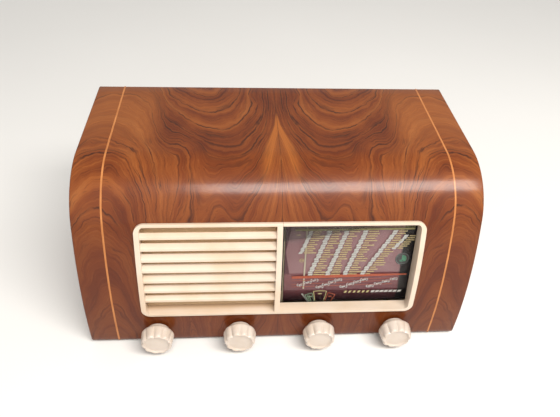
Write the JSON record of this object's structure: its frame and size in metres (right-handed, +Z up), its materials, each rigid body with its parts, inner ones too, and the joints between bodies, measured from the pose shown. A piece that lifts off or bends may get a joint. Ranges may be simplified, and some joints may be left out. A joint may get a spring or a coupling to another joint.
{
  "type": "table radio",
  "caption": "Table radio with a bent, walnut-veneered wooden cabinet, a louvred speaker grille beside a glass tuning dial, and four cream knobs below.",
  "frame": {"origin": "on the surface the feet stand on, below the middle of the bounding box", "axes": "+X to the right seen from the front, +Y to the back, +Z up; the dial and knobs face -Y"},
  "size_m": [0.42, 0.241, 0.206],
  "materials": {
    "walnut_veneer": "glossy varnish over book-matched walnut veneer",
    "walnut_side": "glossy varnish over straight-grained walnut veneer",
    "plywood": "bare",
    "boxwood": "varnished",
    "softwood": "bare",
    "black_rubber": "matte",
    "zinc_steel": "dull zinc",
    "hardboard": "pressed board, matte",
    "cream_plastic": "satin, slightly yellowed",
    "woven_cloth": "woven",
    "grey_paint": "satin",
    "black_iron": "lacquered",
    "cone_paper": "matte felted paper",
    "printed_glass": "polished, printed on the back",
    "cream_paint": "matte",
    "lamp": "small filament lamp in a brass holder",
    "pointer_plastic": "satin",
    "white_needle": "satin",
    "eye_glass": "polished",
    "chassis_plate": "cadmium plate",
    "brown_phenolic": "pressed phenolic",
    "valve_glass": "clear",
    "can_aluminium": "plain",
    "brass_wheel": "dull",
    "waxed_cord": "braided",
    "steel_shaft": "turned",
    "pressed_board": "varnished",
    "knob_plastic": "satin, slightly yellowed"
  },
  "bodies": {
    "radio": {"cabinet_shell": "walnut_veneer", "side_panel_left": "walnut_side", "side_panel_right": "walnut_side", "base_board": "plywood", "inlay_lines": "boxwood", "back_battens": "softwood", "rubber_feet": "black_rubber", "foot_screws": "zinc_steel", "rear_cover": "hardboard", "rear_cover_screws": "zinc_steel", "mounting_blocks": "softwood", "front_moulding": "cream_plastic", "grille_cloth": "woven_cloth", "baffle_board": "softwood", "panel_screws": "zinc_steel", "speaker_basket": "grey_paint", "speaker_magnet": "black_iron", "speaker_screws": "zinc_steel", "dial_glass": "printed_glass", "dial_frame": "cream_paint", "dial_lamps": "lamp", "pointer_rail": "zinc_steel", "magic_eye": "eye_glass", "chassis": "chassis_plate", "chassis_bolts": "zinc_steel", "valve_sockets": "brown_phenolic", "rectifier_valve": "valve_glass", "output_valve": "valve_glass", "detector_valve": "valve_glass", "if_valve": "valve_glass", "mixer_valve": "valve_glass", "if_cans": "can_aluminium", "mains_transformer": "black_iron", "output_transformer": "black_iron", "smoothing_capacitor": "can_aluminium", "tuning_stator": "can_aluminium", "drive_cord": "waxed_cord", "tuning_bearing": "brass_wheel", "volume_control": "brown_phenolic", "tone_control": "brown_phenolic", "band_switch": "pressed_board", "socket_strip": "brown_phenolic", "mains_gland": "black_rubber"},
    "volume": {"knob_volume": "knob_plastic", "volume_shaft": "steel_shaft"},
    "tone": {"knob_tone": "knob_plastic", "tone_shaft": "steel_shaft"},
    "band": {"knob_band": "knob_plastic", "band_shaft": "steel_shaft", "band_needle": "white_needle"},
    "tuning": {"knob_tuning": "knob_plastic", "tuning_shaft": "steel_shaft"},
    "pointer": {"dial_pointer": "pointer_plastic", "pointer_carriage": "zinc_steel"},
    "gang": {"tuning_rotor": "can_aluminium", "drive_drum": "brown_phenolic"},
    "left_pulley": {"cord_pulley_left": "brass_wheel"},
    "right_pulley": {"cord_pulley_right": "brass_wheel"},
    "cone": {"speaker_cone": "cone_paper", "speaker_dust_cap": "cone_paper"}
  },
  "joints": [
    {"name": "volume_turn", "type": "hinge", "parent": "radio", "child": "volume", "pos_m": [-0.1335, -0.0985, 0.024], "axis": [0, 1, 0], "range_deg": [0, 280]},
    {"name": "tone_turn", "type": "hinge", "parent": "radio", "child": "tone", "pos_m": [-0.043, -0.0985, 0.024], "axis": [0, 1, 0], "range_deg": [-140, 140]},
    {"name": "band_turn", "type": "hinge", "parent": "radio", "child": "band", "pos_m": [0.046, -0.0985, 0.024], "axis": [0, 1, 0], "range_deg": [0, 50]},
    {"name": "tuning_turn", "type": "hinge", "parent": "radio", "child": "tuning", "pos_m": [0.1335, -0.0985, 0.024], "axis": [0, 1, 0], "range_deg": [-190, 1480]},
    {"name": "pointer_slide", "type": "slide", "parent": "radio", "child": "pointer", "axis": [1, 0, 0], "range_m": [-0.013, 0.101]},
    {"name": "gang_turn", "type": "hinge", "parent": "radio", "child": "gang", "pos_m": [0.075, -0.0985, 0.096], "axis": [0, 1, 0], "range_deg": [-20.5, 157]},
    {"name": "left_pulley_turn", "type": "hinge", "parent": "radio", "child": "left_pulley", "pos_m": [-0.001, -0.0985, 0.167], "axis": [0, 1, 0], "range_deg": [-94, 731]},
    {"name": "right_pulley_turn", "type": "hinge", "parent": "radio", "child": "right_pulley", "pos_m": [0.146, -0.0985, 0.167], "axis": [0, 1, 0], "range_deg": [-94, 731]},
    {"name": "cone_travel", "type": "slide", "parent": "radio", "child": "cone", "axis": [0, 0.9769, -0.2135], "range_m": [-0.001, 0.001], "stiffness_N_per_m": 2000}
  ],
  "couplings": [
    {"joint": "pointer_slide", "follows": "tuning_turn", "m_per_rad": 0.0039},
    {"joint": "gang_turn", "follows": "tuning_turn", "ratio": 0.10569},
    {"joint": "left_pulley_turn", "follows": "tuning_turn", "ratio": 0.49367},
    {"joint": "right_pulley_turn", "follows": "tuning_turn", "ratio": 0.49367}
  ]
}
